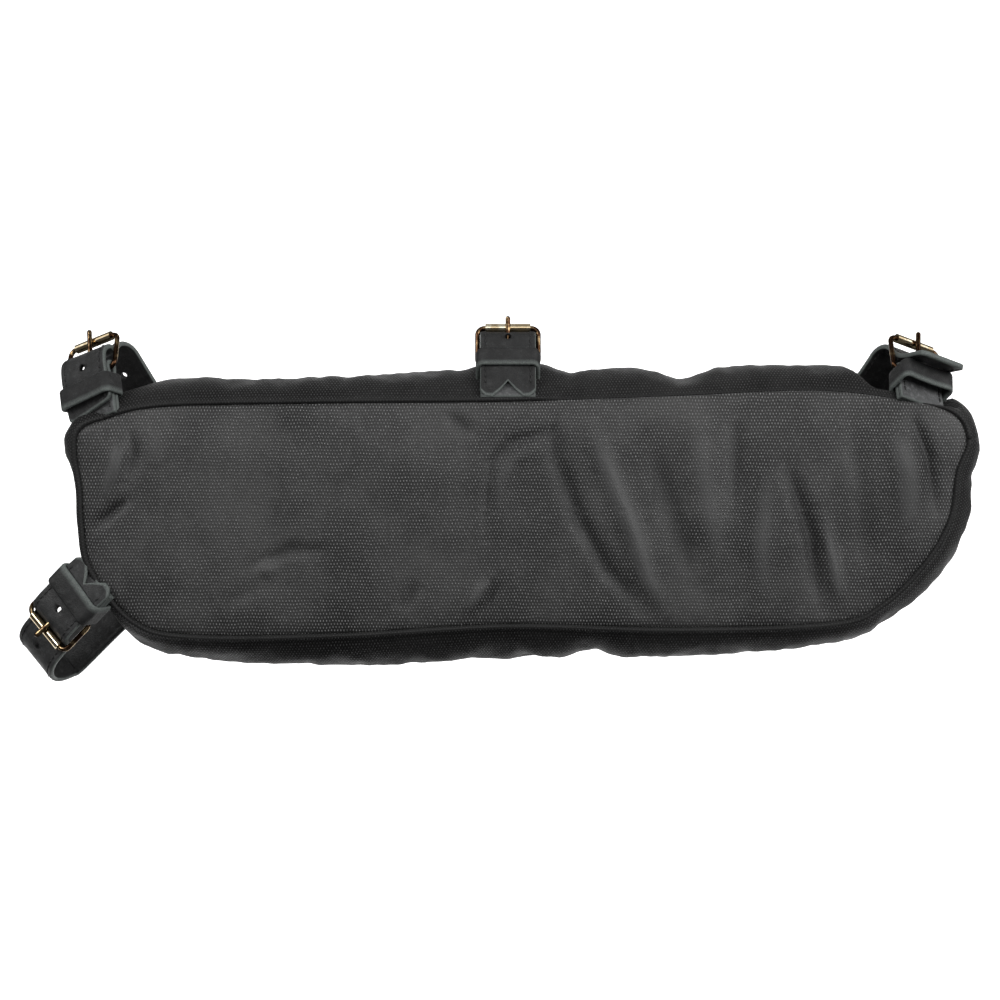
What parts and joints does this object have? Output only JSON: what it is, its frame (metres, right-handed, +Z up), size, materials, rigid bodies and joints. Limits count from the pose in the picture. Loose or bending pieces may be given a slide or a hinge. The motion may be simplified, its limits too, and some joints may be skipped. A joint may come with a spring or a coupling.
{
  "type": "bicycle frame bag",
  "caption": "Long waxed-canvas bag that hangs under a bicycle's top tube by leather straps with roller buckles, with a strap for the seat tube and a zip in its back face.",
  "frame": {"origin": "On the axis of the bicycle's top tube, at the middle of the middle strap's loop.", "axes": "+X runs along the bag towards the front of the bicycle, +Y across it from the plain front face to the zipped back face, +Z up."},
  "size_m": [0.5351, 0.0744, 0.204],
  "materials": {
    "canvas": "waxed cotton canvas, coarse weave, worn black",
    "leather": "oiled pull-up leather, black, greyer at the cut edges",
    "buckle_metal": "antique brass, polished wire",
    "zip_tape": "woven polyester tape",
    "zip_coil": "nylon coil",
    "zip_metal": "antique brass, die cast"
  },
  "bodies": {
    "root": {"front_panel": "canvas", "gusset_top": "canvas", "gusset_bottom": "canvas", "back_panel_upper": "canvas", "back_panel_lower": "canvas", "zip_tape_upper": "zip_tape", "zip_tape_lower": "zip_tape", "zip_coil_upper": "zip_coil", "zip_coil_lower": "zip_coil", "zip_stops": "zip_metal", "top_left_buckle_strap": "leather", "top_left_long_strap": "leather", "top_left_keeper": "leather", "top_left_buckle_frame": "buckle_metal", "top_middle_buckle_strap": "leather", "top_middle_long_strap": "leather", "top_middle_keeper": "leather", "top_middle_buckle_frame": "buckle_metal", "top_right_buckle_strap": "leather", "top_right_long_strap": "leather", "top_right_keeper": "leather", "top_right_buckle_frame": "buckle_metal", "lower_left_buckle_strap": "leather", "lower_left_long_strap": "leather", "lower_left_keeper": "leather", "lower_left_buckle_frame": "buckle_metal"},
    "top_left_prong": {"top_left_prong": "buckle_metal"},
    "top_left_roller": {"top_left_roller": "buckle_metal"},
    "top_middle_prong": {"top_middle_prong": "buckle_metal"},
    "top_middle_roller": {"top_middle_roller": "buckle_metal"},
    "top_right_prong": {"top_right_prong": "buckle_metal"},
    "top_right_roller": {"top_right_roller": "buckle_metal"},
    "lower_left_prong": {"lower_left_prong": "buckle_metal"},
    "lower_left_roller": {"lower_left_roller": "buckle_metal"},
    "zip_slider": {"zip_slider": "zip_metal"},
    "zip_pull": {"zip_pull": "zip_metal"}
  },
  "joints": [
    {"name": "top_left_prong_hinge", "type": "hinge", "parent": "root", "child": "top_left_prong", "pos_m": [-0.23137, -0.0151, -0.01251], "axis": [0.8482, -0.4493, 0.2805], "range_deg": [0, 6]},
    {"name": "top_left_roller_spin", "type": "hinge", "parent": "root", "child": "top_left_roller", "pos_m": [-0.23144, -0.00355, 0.00621], "axis": [0.8482, -0.4493, 0.2805], "continuous": true},
    {"name": "top_middle_prong_hinge", "type": "hinge", "parent": "root", "child": "top_middle_prong", "pos_m": [0, -0.0186, -0.0077], "axis": [1, 0, 0], "range_deg": [0, 6]},
    {"name": "top_middle_roller_spin", "type": "hinge", "parent": "root", "child": "top_middle_roller", "pos_m": [0, -0.0125, 0.01344], "axis": [1, 0, 0], "continuous": true},
    {"name": "top_right_prong_hinge", "type": "hinge", "parent": "root", "child": "top_right_prong", "pos_m": [0.22741, -0.0151, -0.01374], "axis": [0.8543, 0.4493, -0.2612], "range_deg": [0, 6]},
    {"name": "top_right_roller_spin", "type": "hinge", "parent": "root", "child": "top_right_roller", "pos_m": [0.22706, -0.00355, 0.00498], "axis": [0.8543, 0.4493, -0.2612], "continuous": true},
    {"name": "lower_left_prong_hinge", "type": "hinge", "parent": "root", "child": "lower_left_prong", "pos_m": [-0.23962, -0.02387, -0.13844], "axis": [-0.6409, 0.342, 0.6872], "range_deg": [0, 6]},
    {"name": "lower_left_roller_spin", "type": "hinge", "parent": "root", "child": "lower_left_roller", "pos_m": [-0.25491, -0.02121, -0.15403], "axis": [-0.6409, 0.342, 0.6872], "continuous": true},
    {"name": "zip_slide", "type": "slide", "parent": "root", "child": "zip_slider", "axis": [1, 0, 0], "range_m": [0, 0.378]},
    {"name": "zip_pull_hinge", "type": "hinge", "parent": "zip_slider", "child": "zip_pull", "pos_m": [-0.189, 0.0333, -0.054], "axis": [0, 0, 1], "range_deg": [0, 170]}
  ]
}
